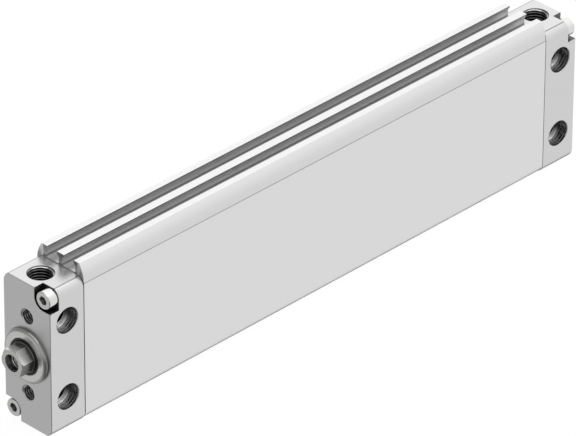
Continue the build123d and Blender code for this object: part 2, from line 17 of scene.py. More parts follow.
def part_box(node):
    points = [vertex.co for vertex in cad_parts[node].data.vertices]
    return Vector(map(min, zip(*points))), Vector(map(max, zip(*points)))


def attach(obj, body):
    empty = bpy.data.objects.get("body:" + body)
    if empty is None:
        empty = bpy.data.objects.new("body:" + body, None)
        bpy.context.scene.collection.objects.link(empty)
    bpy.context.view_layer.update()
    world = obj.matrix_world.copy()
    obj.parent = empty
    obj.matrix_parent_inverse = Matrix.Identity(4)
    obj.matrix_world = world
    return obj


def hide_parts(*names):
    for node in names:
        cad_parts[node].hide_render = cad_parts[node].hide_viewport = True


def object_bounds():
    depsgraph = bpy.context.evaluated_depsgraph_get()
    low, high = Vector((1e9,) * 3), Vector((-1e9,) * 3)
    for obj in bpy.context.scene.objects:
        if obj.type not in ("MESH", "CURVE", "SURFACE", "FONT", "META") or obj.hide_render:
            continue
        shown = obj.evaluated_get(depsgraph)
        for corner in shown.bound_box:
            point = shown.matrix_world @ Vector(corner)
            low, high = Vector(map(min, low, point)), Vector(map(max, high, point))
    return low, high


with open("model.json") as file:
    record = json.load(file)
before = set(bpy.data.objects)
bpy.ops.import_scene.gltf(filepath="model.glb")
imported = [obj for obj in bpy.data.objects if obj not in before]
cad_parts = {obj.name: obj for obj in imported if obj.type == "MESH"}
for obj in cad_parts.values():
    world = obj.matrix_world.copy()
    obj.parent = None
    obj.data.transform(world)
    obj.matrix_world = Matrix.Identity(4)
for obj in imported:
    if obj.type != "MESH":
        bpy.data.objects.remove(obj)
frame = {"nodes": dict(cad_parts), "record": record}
cad_low, cad_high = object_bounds()
nodes = frame["nodes"]
mounts = {mount["name"]: mount for mount in frame["record"]["mounts"]}
MM = 0.001
print("nodes:", len(nodes), "size in mm:", [round(v / MM, 1) for v in cad_high - cad_low])

# %% [markdown]
# ## Measures that the looks share with the construction
# A thread has to lie inside the hole that was drilled for it, so the holes'
# places come from the record of the part and from the boxes of its nodes.
# Only the thread forms are new here. Pitch and depth follow from the thread
# sizes of the holes, save in the air ports, where the turns are as coarse as
# the few that the photograph shows.

# %% Places and thread sizes
front_face = 0.0
rear_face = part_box("rear_cap")[0].x
middle = rear_face / 2
body_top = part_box("front_cap")[1].z
port_place = Vector(mounts["front_port"]["pos_m"])
port_radius = mounts["front_port"]["dims"]["r_mm"] * MM
face_thread_radius = mounts["front_face_threads"]["dims"]["hole_r_mm"] * MM
thread_height = mounts["front_face_threads"]["dims"]["spacing_y_mm"] * MM / 2
cross_radius = mounts["cross_holes"]["dims"]["hole_r_mm"] * MM
cross_reach = mounts["cross_holes"]["dims"]["spacing_x_mm"] * MM / 2
cross_depth = -(cross_reach + middle)
rod_thread_radius = mounts["rod_thread"]["dims"]["r_mm"] * MM
PORT_PITCH = 1.2 * MM
PORT_THREAD_DEPTH = 0.58 * MM
M6_PITCH = 1.0 * MM
M6_THREAD_DEPTH = 0.54 * MM
M4_PITCH = 0.7 * MM
M4_THREAD_DEPTH = 0.4 * MM
print("rear face at", round(rear_face / MM, 1), "port radius", round(port_radius / MM, 3))

# %% [markdown]
# ## From a grid of points to a closed skin
# Every new piece is one sheet of points with two parameters: the turn about
# an axis, and the way along an outline. Numpy works out the whole sheet at
# once. The sheet becomes faces, its meeting edges are joined, its poles are
# closed, and its faces are turned outwards. A Screw modifier could wind a
# thread as well, but wouldn't let it fade out or stop at a curved edge.

# %% Helpers for skins
JOIN_WITHIN = 0.0004 * MM
NEEDLE_WIDTH = 0.0002 * MM
SHARP_ANGLE = np.radians(32)


def skin(name, points, painted_shade, closed_outline):
    """A mesh from points[turn, along, xyz]. Neighbours in both directions
    span a face; with closed_outline the last point along joins the first.
    Each point also keeps how much shade is painted at its place, from 0 to 1."""
    turns, steps = points.shape[:2]
    a, b = np.meshgrid(np.arange(turns - 1), np.arange(steps if closed_outline else steps - 1),
                       indexing="ij")
    b_next = (b + 1) % steps
    quads = np.stack([a * steps + b, (a + 1) * steps + b,
                      (a + 1) * steps + b_next, a * steps + b_next], axis=-1)
    mesh = bpy.data.meshes.new(name)
    mesh.from_pydata(points.reshape(-1, 3), [], quads.reshape(-1, 4).tolist())
    mesh.attributes.new("painted_shade", "FLOAT", "POINT").data.foreach_set("value", painted_shade.ravel())
    work = bmesh.new()
    work.from_mesh(mesh)
    bmesh.ops.remove_doubles(work, verts=work.verts, dist=JOIN_WITHIN)
    bmesh.ops.dissolve_degenerate(work, edges=work.edges, dist=NEEDLE_WIDTH)
    bmesh.ops.recalc_face_normals(work, faces=work.faces)
    work.to_mesh(mesh)
    work.free()
    mesh.shade_smooth()
    mesh.set_sharp_from_angle(angle=SHARP_ANGLE)
    piece = bpy.data.objects.new(name, mesh)
    bpy.context.scene.collection.objects.link(piece)
    return piece


def around(origin, axis, radius, turn, depth):
    """Points at a radius and turn about an axis: origin + depth along the
    axis + radius times (cosine of turn, sine of turn) across it."""
    axis = Vector(axis).normalized()
    across = axis.orthogonal().normalized()
    other = axis.cross(across)
    across, other, axis = np.array(across), np.array(other), np.array(axis)
    return (np.array(origin) + depth[..., None] * axis
            + (radius * np.cos(turn))[..., None] * across
            + (radius * np.sin(turn))[..., None] * other)


TURN_STEPS = 96
full_turn = np.linspace(0, 2 * np.pi, TURN_STEPS + 1)
print("steps in one turn:", TURN_STEPS)

# %% [markdown]
# ## The form of a cut thread
# A screw thread is one groove wound round a cylinder. Seen from the side its
# outline is a row of teeth with flats on top and bottom. The rows of the grid
# follow the groove: a point's depth is its tooth's place plus the share of
# the turn times the pitch. So the tooth edges stay sharp with few faces.

# %% The tooth outline
STEPS_PER_PITCH = 12
TOOTH_FLAT = 0.14


def tooth(phase):
    """Height of the tooth, 0 at the root and 1 at the crest: a triangle wave
    of the phase, stretched and cut off so that both ends have a flat."""
    wave = np.abs(2 * np.mod(phase, 1) - 1)
    return np.clip((wave - TOOTH_FLAT) / (1 - 2 * TOOTH_FLAT), 0, 1)


def wound(length, pitch):
    """Turn, phase and depth of a wound grid. The depth is pitch times
    (phase + turn / full turn). The grid starts and ends a little beyond the
    thread, and the caller holds the depth between the thread's two ends."""
    count = int(np.ceil(length / pitch)) + 1
    phase = np.linspace(-1, count, (count + 1) * STEPS_PER_PITCH + 1)
    turn, phase = np.meshgrid(full_turn, phase, indexing="ij")
    return turn, phase, pitch * (phase + turn / (2 * np.pi))


print("tooth at quarter steps:", tooth(np.linspace(0, 1, 5)))

# %% [markdown]
# ## Threads in holes
# The ports, the face holes and the rod nose have inside threads. Each one is
# a thin sleeve in its hole: a threaded inner wall and a plain outer wall.
# Real threads start in a small cone, so the teeth fade out at both mouths.
# In the face holes the thread ends where the cross hole cuts through it.
# Hardly any light reaches the grooves, so each sleeve also carries how much
# shade is to be painted at its points, and the finish reads that as an
# attribute later on and paints it into the colour.

# %% A threaded sleeve
SLEEVE_WALL = 0.025 * MM
HOLE_GAP = 0.005 * MM
MOUTH_SLOPE = 1.6
MOUTH_LIGHT = 0.4 * MM


def threaded_sleeve(name, origin, axis, hole_radius, length, pitch, tooth_depth, lit,
                    crest_power=2, end=None):
    """Inner radius = root radius - tooth depth * tooth(phase), but never
    below a cone that starts at each mouth. The outer wall is a cylinder.
    Only crests are lit: fully at the mouth, and by the share lit inside. The
    higher crest_power is, the narrower is the lit part of a crest."""
    turn, phase, depth = wound(length, pitch)
    last = np.full(turn.shape, length) if end is None else end(turn)
    depth = np.clip(depth, 0, last)
    root = hole_radius - HOLE_GAP - SLEEVE_WALL
    radius = root - tooth_depth * tooth(phase)
    cone = root - MOUTH_SLOPE * np.minimum(depth, last - depth)
    inner = around(origin, axis, np.maximum(radius, cone), turn, depth)
    outer_radius = np.full(TURN_STEPS + 1, hole_radius - HOLE_GAP)
    bottom = around(origin, axis, outer_radius, full_turn, last[:, 0])
    top = around(origin, axis, outer_radius, full_turn, np.zeros(TURN_STEPS + 1))
    points = np.concatenate([inner, bottom[:, None], top[:, None]], axis=1)
    painted_shade = np.ones(points.shape[:2])
    inside = np.clip(depth / MOUTH_LIGHT, 0, 1)
    painted_shade[:, :-2] = 1 - tooth(phase)**crest_power * (1 - inside * (1 - lit))
    return skin(name, points, painted_shade, closed_outline=True)


# %% Threads of the two air ports
PORT_LEAD = 0.5 * MM
PORT_END_GAP = 0.3 * MM
PORT_THREAD_LENGTH = mounts["front_port"]["dims"]["length_mm"] * MM - PORT_END_GAP
threads = {}
for end_name, x in (("front", port_place.x), ("rear", mounts["rear_port"]["pos_m"][0])):
    mouth = (x, port_place.y, body_top - PORT_LEAD)
    threads[end_name + "_port_thread"] = threaded_sleeve(
        end_name + "_port_thread", mouth, (0, 0, -1), port_radius,
        PORT_THREAD_LENGTH, PORT_PITCH, PORT_THREAD_DEPTH, lit=0.12)
print("port threads:", [len(t.data.polygons) for t in threads.values()])

# %% Threads in the end faces
FACE_LEAD = 0.32 * MM
CROSS_GAP = 0.05 * MM


def to_cross_hole(turn):
    """Length at which the sleeve meets the cross hole: the hole's depth
    minus the half chord of its circle at this height."""
    height = face_thread_radius * np.sin(turn)
    chord = np.sqrt(cross_radius**2 - height**2)
    return cross_depth - FACE_LEAD - chord - CROSS_GAP


for end_name, x, way in (("front", front_face, -1), ("rear", rear_face, 1)):
    for level, z in (("upper", thread_height), ("lower", -thread_height)):
        name = f"{end_name}_{level}_face_thread"
        threads[name] = threaded_sleeve(
            name, (x + way * FACE_LEAD, 0, z), (way, 0, 0), face_thread_radius,
            cross_depth, M6_PITCH, M6_THREAD_DEPTH, lit=1.0, crest_power=5, end=to_cross_hole)
print("threads so far:", len(threads))

# %% Thread in the rod nose
ROD_END_GAP = 0.6 * MM
rod_thread_start = mounts["rod_thread"]["pos_m"][0]
rod_thread_length = mounts["rod_thread"]["dims"]["length_mm"] * MM - ROD_END_GAP
threads["rod_nose_thread"] = threaded_sleeve(
    "rod_nose_thread", (rod_thread_start, 0, 0), (-1, 0, 0), rod_thread_radius,
    rod_thread_length, M6_PITCH, M6_THREAD_DEPTH, lit=1.0)
for name, piece in threads.items():
    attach(piece, "rod_and_piston" if name == "rod_nose_thread" else "cylinder")
print("rod thread starts at", rod_thread_start)

# %% [markdown]
# ## Socket head screws
# The cap screws are cold-formed: a round head with a soft upper edge, a
# hexagon socket with a small cone at its mouth, and a rolled thread. One
# outline from the middle of the socket to the tip of the shank does it all.
# Where the outline is in the socket, its radius follows the hexagon. The
# socket, the thread's grooves and the side of the head that faces the wall
# of its pocket get painted shade, because they mirror only dark metal; on
# the head's side it is a painted reflection of that wall.

# %% The hexagon of the socket
def hexagon_radius(turn, across_flats):
    """Radius of a hexagon: half its width over the cosine of the angle to
    the nearest flat's middle."""
    off = np.mod(turn + np.pi / 6, np.pi / 3) - np.pi / 6
    return across_flats / 2 / np.cos(off)


print("corner over flat:", round(float(hexagon_radius(np.pi / 6, 2.0)), 4))

# %% The outline of a socket screw
HEAD_CORNER_STEPS = 7
SOCKET_CHAMFER = 0.22 * MM
SOCKET_RIM = 0.06 * MM
DRILLED_SHARE = 0.7
DRILL_CONE = (0.1 * MM, 0.5 * MM)
HEAD_FOOT_CHAMFER = 0.12 * MM
NECK_FILLET = 0.15 * MM
NECK_LENGTH = 0.2 * MM
TIP_SLOPE = 0.8
SOCKET_SHADE = (0.65, 0.65, 1.0, 0.7)
WALL_REFLECTION_SHADE = 1.5
GROOVE_SHADE = 0.6


def socket_screw(name, seat, axis, head, height, socket, socket_depth, shank, length,
                 pitch, tooth_depth, corner, wall):
    """Turned outline with depths counted from the head face along the axis:
    socket, face, round edge, head side, neck, wound thread and tip. Socket
    and grooves get painted shade. Edge and side get a painted reflection of
    the pocket's dark wall, as strong as a set factor times the cosine of the
    angle between their outward direction and the direction to the pocket's
    wall."""
    hexagon = hexagon_radius(full_turn, socket)
    mouth = socket / np.sqrt(3) + SOCKET_RIM
    drilled = DRILLED_SHARE * socket / 2
    bend = np.linspace(0, np.pi / 2, HEAD_CORNER_STEPS)
    core = shank - tooth_depth
    start = height + NECK_LENGTH
    inner = [(0.0, socket_depth + DRILL_CONE[1]), (drilled, socket_depth + DRILL_CONE[0]),
             ("hexagon", socket_depth), ("hexagon", SOCKET_CHAMFER), (mouth, 0.0)]
    edge = [(head - corner + corner * np.sin(t), corner - corner * np.cos(t)) for t in bend]
    side = [(head, height - HEAD_FOOT_CHAMFER), (head - HEAD_FOOT_CHAMFER, height),
            (shank + NECK_FILLET, height), (core, start)]
    plain = inner + edge + side
    columns = []
    for radius, depth in plain:
        ring = hexagon if isinstance(radius, str) else np.full(TURN_STEPS + 1, radius)
        columns.append(around(seat, axis, ring, full_turn, np.full(TURN_STEPS + 1, depth)))
    threaded = length - NECK_LENGTH
    turn, phase, depth = wound(threaded, pitch)
    depth = np.clip(depth, 0, threaded)
    room = np.minimum(depth, threaded - depth)
    radius = np.minimum(core + tooth_depth * tooth(phase), core + TIP_SLOPE * room)
    wound_part = around(seat, axis, radius, turn, depth + start)
    tip = around(seat, axis, np.zeros(TURN_STEPS + 1), full_turn,
                 np.full(TURN_STEPS + 1, height + length))
    points = np.concatenate([np.stack(columns, axis=1), wound_part, tip[:, None]], axis=1)
    # Painted shade of each point: socket, grooves, and the head's side as a painted reflection of
    # the pocket wall.
    painted_shade = np.zeros(points.shape[:2])
    painted_shade[:, :len(SOCKET_SHADE)] = SOCKET_SHADE
    facing = around((0, 0, 0), axis, np.ones(TURN_STEPS + 1), full_turn,
                    np.zeros(TURN_STEPS + 1)) @ np.array(wall)
    round_edge = len(inner) + HEAD_CORNER_STEPS // 3
    painted_shade[:, round_edge:len(plain)] = np.clip(WALL_REFLECTION_SHADE * facing, 0, 1)[:, None]
    painted_shade[:, len(plain):-1] = GROOVE_SHADE * (1 - tooth(phase))
    return skin(name, points, painted_shade, closed_outline=False)


# %% Four cap screws
HEAD_HEIGHT = 4.0 * MM
screws = {}
for node_name in [name for name in nodes if "cap_screw" in name]:
    low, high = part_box(node_name)
    centre = (low + high) / 2
    at_front = node_name.startswith("front")
    face = (high.x if at_front else low.x, centre.y, centre.z)
    to_wall = -np.sqrt(0.5) * np.sign([0.0, centre.y, centre.z])
    screws[node_name] = socket_screw(
        node_name + "_detailed", face, (-1 if at_front else 1, 0, 0),
        head=(high.y - low.y) / 2, height=HEAD_HEIGHT, socket=3.0 * MM, socket_depth=2.0 * MM,
        shank=1.97 * MM, length=high.x - low.x - HEAD_HEIGHT, pitch=M4_PITCH,
        tooth_depth=M4_THREAD_DEPTH, corner=0.45 * MM, wall=to_wall)
    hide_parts(node_name)
    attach(screws[node_name], "cylinder")
print("cap screws:", list(screws))

# %% The piston screw
PISTON_HEAD_HEIGHT = 5.0 * MM
low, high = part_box("piston_screw")
screws["piston_screw"] = socket_screw(
    "piston_screw_detailed", (low.x, 0, 0), (1, 0, 0), head=high.y,
    height=PISTON_HEAD_HEIGHT, socket=5.0 * MM, socket_depth=2.6 * MM, shank=2.97 * MM,
    length=high.x - low.x - PISTON_HEAD_HEIGHT, pitch=M6_PITCH,
    tooth_depth=M6_THREAD_DEPTH, corner=0.5 * MM, wall=(0, 0, 0))
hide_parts("piston_screw")
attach(screws["piston_screw"], "rod_and_piston")
print("screws:", {n: len(s.data.polygons) for n, s in screws.items()})

# %% [markdown]
# ## Small helpers for finishes
# A finish is a tree of shader nodes. Nodes could be placed and joined by hand
# in the editor, but a few helpers show better what depends on what: one adds
# a node with its settings and inputs, one opens a node group with named
# inputs and outputs, and the others make masks. A mask is 1 where something
# is to happen, 0 elsewhere, and eased between two places.

# %% Helpers for node trees
def add(tree, kind, inputs=None, **settings):
    """Adds a node. An input that is a socket is linked, any other is set."""
    made = tree.nodes.new(kind)
    for key, value in settings.items():
        setattr(made, key, value)
    for key, value in (inputs or {}).items():
        if isinstance(value, bpy.types.NodeSocket):
            tree.links.new(value, made.inputs[key])
        else:
            made.inputs[key].default_value = value
    return made


def maths(tree, operation, a, b=0.0):
    """One Math node's result."""
    return add(tree, "ShaderNodeMath", {0: a, 1: b}, operation=operation).outputs[0]


def ramp(tree, value, low, high, start=0.0, stop=1.0):
    """The value from low to high, eased onto start to stop."""
    return add(tree, "ShaderNodeMapRange",
               {"Value": value, "From Min": low, "From Max": high, "To Min": start,
                "To Max": stop}, interpolation_type="SMOOTHSTEP").outputs["Result"]


def fall(tree, value, low, high):
    """A mask that is 1 below low and eases to 0 at high."""
    return ramp(tree, value, low, high, 1.0, 0.0)


def size_of(tree, value):
    """The value without its sign."""
    return maths(tree, "ABSOLUTE", value)


def off_from(tree, value, place):
    """How far the value is from a place, without its sign."""
    return size_of(tree, maths(tree, "SUBTRACT", value, place))


def overlap(tree, *masks):
    """The product of all masks: 1 only where each of them is 1."""
    product = masks[0]
    for mask in masks[1:]:
        product = maths(tree, "MULTIPLY", product, mask)
    return product


def open_group(name, inputs, outputs):
    """A new shader group with its input and output nodes."""
    tree = bpy.data.node_groups.new(name, "ShaderNodeTree")
    for label, kind, value in inputs:
        socket = tree.interface.new_socket(label, in_out="INPUT", socket_type=kind)
        if value is not None:
            socket.default_value = value
    for label in outputs:
        tree.interface.new_socket(label, in_out="OUTPUT", socket_type="NodeSocketFloat")
    return tree, tree.nodes.new("NodeGroupInput").outputs, tree.nodes.new("NodeGroupOutput")


FLOAT, VECTOR = "NodeSocketFloat", "NodeSocketVector"
print("helpers ready")

# %% [markdown]
# ## Grain
# Satin metal is never even. Blasting, drawing and grinding each leave a fine
# pattern that is round, long or ringed. One group makes all three: noise that
# is stretched by a vector. A factor of 0.01 on one axis draws the spots out
# into long lines on that axis.

# %% Grain group
NOISE_RANGE = (0.28, 0.72)
grain_group, given, result = open_group(
    "surface_grain",
    [("Vector", VECTOR, None), ("Stretch", VECTOR, (1, 1, 1)), ("Scale", FLOAT, 1000.0),
     ("Detail", FLOAT, 3.0)], ["Shade"])
stretched = add(grain_group, "ShaderNodeVectorMath", {0: given["Vector"], 1: given["Stretch"]},
                operation="MULTIPLY").outputs[0]
noise = add(grain_group, "ShaderNodeTexNoise",
            {"Vector": stretched, "Scale": given["Scale"], "Detail": given["Detail"]})
spread = add(grain_group, "ShaderNodeMapRange",
             {"Value": noise.outputs["Fac"], "From Min": NOISE_RANGE[0],
              "From Max": NOISE_RANGE[1]}).outputs["Result"]
grain_group.links.new(spread, result.inputs["Shade"])
print(grain_group.name)

# %% [markdown]
# ## Turned rings
# A lathe or a milling head leaves rings about its axis. The group measures
# the distance from that axis, counts it in steps of the tool's feed, and
# reads noise along the steps. So the rings are uneven, as those of a worn
# tool are, where a wave texture would give them all the same height.

# %% Ring group
rings_group, given, result = open_group(
    "turned_rings",
    [("Vector", VECTOR, None), ("Centre", VECTOR, (0, 0, 0)), ("Across", VECTOR, (0, 1, 1)),
     ("Pitch", FLOAT, 0.15 * MM)], ["Height", "Radius"])
offset = add(rings_group, "ShaderNodeVectorMath", {0: given["Vector"], 1: given["Centre"]},
             operation="SUBTRACT").outputs[0]
flat = add(rings_group, "ShaderNodeVectorMath", {0: offset, 1: given["Across"]},
           operation="MULTIPLY").outputs[0]
reach = add(rings_group, "ShaderNodeVectorMath", {0: flat}, operation="LENGTH").outputs["Value"]
steps = maths(rings_group, "DIVIDE", reach, given["Pitch"])
ring = add(rings_group, "ShaderNodeTexNoise", {"W": steps, "Scale": 0.9, "Detail": 2.0},
           noise_dimensions="1D").outputs["Fac"]
rings_group.links.new(ring, result.inputs["Height"])
rings_group.links.new(reach, result.inputs["Radius"])
print(rings_group.name)

# %% [markdown]
# ## Edge wear
# Handling polishes the outer edges first. A bevel node gives the normal that
# a slightly rounded edge would have. Where that differs from the true normal
# there is an edge, and noise breaks the polished line up into short runs.

# %% Edge wear group
EDGE_TURN = (0.02, 0.25)
PATCH_SCALE, PATCH_RANGE = 420.0, (0.35, 0.65)
LEAST_WEAR = 0.35
wear_group, given, result = open_group(
    "edge_wear",
    [("Vector", VECTOR, None), ("Rounded Normal", VECTOR, None), ("Amount", FLOAT, 1.0)],
    ["Mask"])
true_normal = add(wear_group, "ShaderNodeNewGeometry").outputs["True Normal"]
agreement = add(wear_group, "ShaderNodeVectorMath",
                {0: given["Rounded Normal"], 1: true_normal},
                operation="DOT_PRODUCT").outputs["Value"]
edge = ramp(wear_group, maths(wear_group, "SUBTRACT", 1.0, agreement), *EDGE_TURN)
patchy = add(wear_group, "ShaderNodeTexNoise",
             {"Vector": given["Vector"], "Scale": PATCH_SCALE, "Detail": 4.0}).outputs["Fac"]
patches = ramp(wear_group, patchy, *PATCH_RANGE, LEAST_WEAR, 1.0)
wear_group.links.new(overlap(wear_group, edge, patches, given["Amount"]), result.inputs["Mask"])
print(wear_group.name)

# %% [markdown]
# ## The four corners folded into one
# Both caps carry the same holes, mirrored top to bottom and end to end.
# Folding space at the middle planes lays all of them on one another, so one
# ring pattern and one shadowed pocket serve every corner of both caps.

# %% Folding group
fold_group, given, result = open_group(
    "folded_corner", [("Vector", VECTOR, None)],
    ["Cross Hole Radius", "Pocket Y", "Pocket Z", "End Depth"])
parts = add(fold_group, "ShaderNodeSeparateXYZ", {0: given["Vector"]}).outputs
end_depth = off_from(fold_group, parts["X"], middle)
level = size_of(fold_group, parts["Z"])
cross_x = maths(fold_group, "SUBTRACT", end_depth, cross_reach)
cross_z = maths(fold_group, "SUBTRACT", level, thread_height)
screw_low, screw_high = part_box("front_cap_screw_upper")
screw_axis = (screw_low + screw_high) / 2
side = maths(fold_group, "MULTIPLY", parts["Y"], maths(fold_group, "SIGN", parts["Z"]))
pocket_y = maths(fold_group, "SUBTRACT", side, screw_axis.y)
pocket_z = maths(fold_group, "SUBTRACT", level, screw_axis.z)
squares = [maths(fold_group, "MULTIPLY", v, v) for v in (cross_x, cross_z)]
reach = maths(fold_group, "SQRT", maths(fold_group, "ADD", *squares))
fold_group.links.new(reach, result.inputs["Cross Hole Radius"])
fold_group.links.new(pocket_y, result.inputs["Pocket Y"])
fold_group.links.new(pocket_z, result.inputs["Pocket Z"])
fold_group.links.new(maths(fold_group, "SUBTRACT", -middle, end_depth), result.inputs["End Depth"])
print(fold_group.name, "cross holes at", round(cross_reach / MM, 1), "mm from the middle")


# %% [markdown]
# ## One workshop for all finishes
# Every finish here has the same skeleton. Object coordinates feed the grain,
# the grain shifts colour and roughness a little, and a bump on top of the
# rounded edge normal gives the light something to catch. Only the numbers and
# the extra patterns differ from metal to metal.

# %% The skeleton of a finish
BEVEL_SAMPLES = 6
WORN_BRIGHTER = 1.18


def finish(name, colour, metallic, roughness, grain_scale, stretch=(1, 1, 1), detail=3.0,
           shade=0.05, rough_shade=0.06, bump=0.0015 * MM, edge=0.12 * MM, wear=0.0):
    """A material whose colour is mixed between a darker and a lighter tone by
    the grain, with roughness and bump from the same grain."""
    made = bpy.data.materials.new(name)
    made.use_nodes = True
    tree = made.node_tree
    shader = tree.nodes["Principled BSDF"]
    place = add(tree, "ShaderNodeTexCoord").outputs["Object"]
    grain = add(tree, "ShaderNodeGroup", node_tree=grain_group)
    grain.inputs["Stretch"].default_value = stretch
    grain.inputs["Scale"].default_value = grain_scale
    grain.inputs["Detail"].default_value = detail
    tree.links.new(place, grain.inputs["Vector"])
    colour = np.array(colour)
    tone = add(tree, "ShaderNodeMix", {"Factor": grain.outputs["Shade"],
                                       "A": (*np.clip(colour * (1 - shade), 0, 1), 1),
                                       "B": (*np.clip(colour * (1 + shade), 0, 1), 1)},
               data_type="RGBA")
    rough = ramp(tree, grain.outputs["Shade"], 0.0, 1.0, roughness - rough_shade,
                 roughness + rough_shade)
    rounded = add(tree, "ShaderNodeBevel", {"Radius": edge},
                  samples=BEVEL_SAMPLES).outputs["Normal"]
    relief = add(tree, "ShaderNodeBump", {"Height": grain.outputs["Shade"], "Distance": bump,
                                          "Strength": 1.0, "Normal": rounded})
    worn = add(tree, "ShaderNodeGroup", node_tree=wear_group)
    worn.inputs["Amount"].default_value = wear
    tree.links.new(place, worn.inputs["Vector"])
    tree.links.new(rounded, worn.inputs["Rounded Normal"])
    bright = add(tree, "ShaderNodeMix", {"Factor": worn.outputs["Mask"],
                                         "A": tone.outputs["Result"],
                                         "B": (*np.clip(colour * WORN_BRIGHTER, 0, 1), 1)},
                 data_type="RGBA")
    tree.links.new(bright.outputs["Result"], shader.inputs["Base Color"])
    tree.links.new(rough, shader.inputs["Roughness"])
    tree.links.new(relief.outputs["Normal"], shader.inputs["Normal"])
    shader.inputs["Metallic"].default_value = metallic
    return {"material": made, "tree": tree, "shader": shader, "place": place,
            "grain": grain.outputs["Shade"], "tone": bright.outputs["Result"], "rough": rough,
            "relief": relief}


def scale_colour(look, mask, factor):
    """Multiplies the base colour by factor where the mask is 1. A factor
    below 1 darkens, and one above 1 lightens."""
    tree = look["tree"]
    mix = add(tree, "ShaderNodeMix", {"Factor": mask, "A": look["tone"],
                                      "B": (factor, factor, factor, 1)},
              data_type="RGBA", blend_type="MULTIPLY")
    look["tone"] = mix.outputs["Result"]
    tree.links.new(look["tone"], look["shader"].inputs["Base Color"])


def extra_relief(look, height, distance):
    """Lays a second bump over the first."""
    tree = look["tree"]
    look["relief"] = add(tree, "ShaderNodeBump", {"Height": height, "Distance": distance,
                                                  "Strength": 1.0,
                                                  "Normal": look["relief"].outputs["Normal"]})
    tree.links.new(look["relief"].outputs["Normal"], look["shader"].inputs["Normal"])


looks = {}
print("finish helpers ready")

# %% [markdown]
# ## Barrel: drawn and anodised
# The real barrel is pressed through a die, which leaves faint lines all along
# it, and is then anodised to an even satin. A picture of such metal could be
# wrapped round it, but would repeat. Noise that is drawn out along X gives
# lines that never repeat, and it needs no unwrapping.

# %% Barrel metal
SIDE_STEP = (11.6 * MM, 11.7 * MM)
barrel = finish("drawn_anodised_aluminium", (0.885, 0.883, 0.882), metallic=1.0,
                roughness=0.36, grain_scale=2600.0, stretch=(0.012, 1, 1), shade=0.01,
                rough_shade=0.04, bump=0.0004 * MM)
tree = barrel["tree"]
at = add(tree, "ShaderNodeSeparateXYZ", {0: barrel["place"]}).outputs
faces = add(tree, "ShaderNodeSeparateXYZ",
            {0: add(tree, "ShaderNodeNewGeometry").outputs["Normal"]}).outputs
width = size_of(tree, at["Y"])
on_sides = ramp(tree, width, *SIDE_STEP)
looks["barrel_aluminium"] = barrel
print("barrel metal made")

# %% [markdown]
# ## Barrel: painted shade in the slots
# Hardly any light gets into the sensor slots of the real barrel. The render
# alone leaves them too bright, because metal in a white room mirrors it from
# every side. So shade is painted into the colour: masks of place and facing
# darken the flanks, most near the mouth, and both corners of a slot's floor.

# %% Barrel slots
RAIL_EDGE = (8.4 * MM, 9.0 * MM)
SLOT_FLOOR = (body_top, body_top + 0.3 * MM)
FLANK_FACING = (0.5, 0.8)
MOUTH_SHADE = (body_top + 1.4 * MM, body_top + 4.4 * MM)
SLOT_MIDDLE = 4.2 * MM
CORNER_EDGE = (2.9 * MM, 3.0 * MM)
CORNER_TOP = (body_top + 0.9 * MM, body_top + 1.2 * MM)
in_slots = overlap(tree, fall(tree, width, *RAIL_EDGE), ramp(tree, at["Z"], *SLOT_FLOOR))
flank = overlap(tree, in_slots, fall(tree, size_of(tree, faces["Z"]), *FLANK_FACING))
scale_colour(barrel, flank, factor=0.62)
scale_colour(barrel, overlap(tree, flank, ramp(tree, at["Z"], *MOUTH_SHADE)), factor=0.6)
corner = ramp(tree, off_from(tree, width, SLOT_MIDDLE), *CORNER_EDGE)
scale_colour(barrel, overlap(tree, corner, in_slots, fall(tree, at["Z"], *CORNER_TOP)), factor=0.6)
print("slots darkened about", round(SLOT_MIDDLE / MM, 1), "mm from the middle")

# %% [markdown]
# ## Barrel: painted shade at crease, arcs, joint and rail ends
# A fine crease runs along each side where the flat panel meets the arc, and
# its shade is painted in as a dark line. Painted shadow also shows as a dark
# line where the barrel meets the rear cap. The arcs are painted a touch
# darker low down, and the ends of the rail much darker at their outer foot,
# both as painted shade. Each is a mask of place, which stays sharp at any
# size of picture.

# %% Barrel lines
PANEL_LINE = body_top - 2.3 * MM
LINE_EDGE = (0.1 * MM, 0.22 * MM)
ARC_START, ARC_HEIGHT = (PANEL_LINE, PANEL_LINE + 0.5 * MM), (body_top, body_top + 3.5 * MM)
ARC_EDGE = (9.2 * MM, 9.6 * MM)
JOINT_EDGE = (0.2 * MM, 0.36 * MM)
REAR_HALF = (middle, middle + MM)
END_FACING = (0.8, 0.9)
FOOT_EDGE, FOOT_HEIGHT = (8.8 * MM, 10.4 * MM), (body_top, body_top + 4.0 * MM)
panel_line = fall(tree, off_from(tree, at["Z"], PANEL_LINE), *LINE_EDGE)
scale_colour(barrel, overlap(tree, panel_line, on_sides), factor=0.5)
low_arc = overlap(tree, ramp(tree, at["Z"], *ARC_START), fall(tree, at["Z"], *ARC_HEIGHT),
                  ramp(tree, width, *ARC_EDGE))
scale_colour(barrel, low_arc, factor=0.94)
barrel_half_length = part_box("barrel_profile")[1].x - middle
from_end = maths(tree, "SUBTRACT", barrel_half_length, off_from(tree, at["X"], middle))
joint = overlap(tree, on_sides, fall(tree, from_end, *JOINT_EDGE), fall(tree, at["X"], *REAR_HALF))
scale_colour(barrel, joint, factor=0.12)
foot = overlap(tree, ramp(tree, width, *FOOT_EDGE), fall(tree, at["Z"], *FOOT_HEIGHT))
end_face = ramp(tree, size_of(tree, faces["X"]), *END_FACING)
scale_colour(barrel, overlap(tree, end_face, foot), factor=0.5)
print("crease at", round(PANEL_LINE / MM, 1), "mm")

# %% [markdown]
# ## Caps: machined, blasted and anodised
# The caps are milled blocks. Blasting gives them a fine, even grain before
# they are anodised, and handling brightens their sharp edges. Blasted metal
# spreads light more than drawn metal, so they look a little darker than the
# barrel, and their base colour says so.

